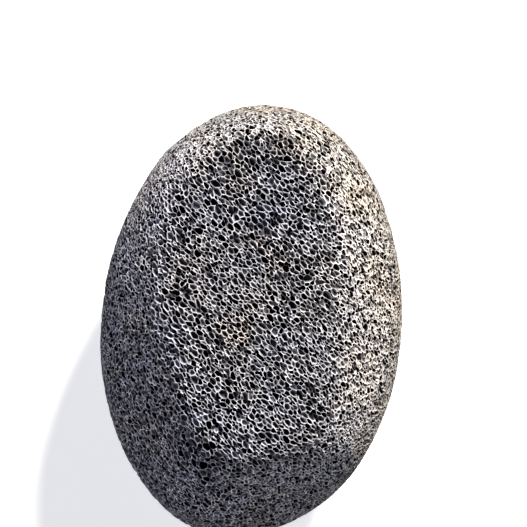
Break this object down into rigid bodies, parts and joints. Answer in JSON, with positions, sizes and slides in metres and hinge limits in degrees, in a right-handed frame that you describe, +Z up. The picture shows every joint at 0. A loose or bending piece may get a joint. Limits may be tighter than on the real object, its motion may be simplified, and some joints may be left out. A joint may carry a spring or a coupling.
{
  "type": "pumice stone",
  "caption": "Palm-sized oval stone of open-pored grey volcanic foam, ground to a flat top with a crisp edge along one side and rounded elsewhere, for rubbing hard skin.",
  "frame": {"origin": "under the middle of the stone, on the surface it rests on", "axes": "+Y along the stone towards its slightly narrower end, +Z up through its ground top, +X across it away from the crisp edge of the top"},
  "size_m": [0.066, 0.0946, 0.0387],
  "materials": {
    "pumice": "matt grey-beige volcanic foam with near-black open pores"
  },
  "bodies": {
    "root": {"pumice_stone": "pumice"}
  },
  "joints": []
}
